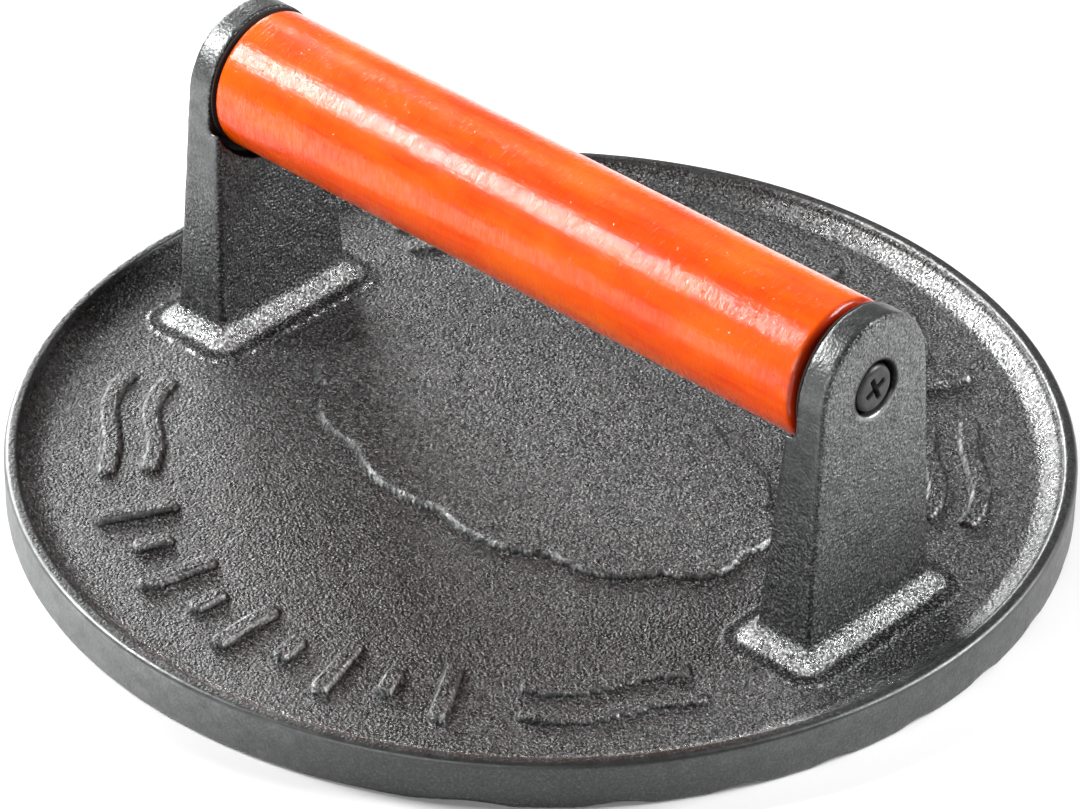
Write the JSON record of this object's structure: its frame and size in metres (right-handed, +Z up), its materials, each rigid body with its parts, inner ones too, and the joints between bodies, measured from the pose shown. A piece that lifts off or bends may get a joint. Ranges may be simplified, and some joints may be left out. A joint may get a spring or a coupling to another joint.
{
  "type": "patty press",
  "caption": "Round cast-iron patty press with a ribbed pressing face and a painted wooden grip that spins on a tie rod between two cast uprights.",
  "frame": {"origin": "centre of the pressing face, at the level of its rib lands", "axes": "+Z up, away from the pressing face; +X along the handle; -Y the front"},
  "size_m": [0.21, 0.21, 0.0747],
  "materials": {
    "cast_iron": "pre-seasoned, fine grained as cast",
    "painted_wood": "glossy orange paint over turned hardwood",
    "bright_steel": "plain turned steel",
    "black_washer": "matte black",
    "black_steel": "black oxide, satin"
  },
  "bodies": {
    "press": {"press_casting": "cast_iron", "tie_rod": "bright_steel", "spacer_washer_right": "black_washer", "spacer_washer_left": "black_washer", "handle_screw_right": "black_steel", "handle_screw_left": "black_steel"},
    "grip": {"wood_grip": "painted_wood"}
  },
  "joints": [
    {"name": "grip_spin", "type": "hinge", "parent": "press", "child": "grip", "pos_m": [0, 0, 0.0598], "axis": [1, 0, 0], "continuous": true}
  ]
}
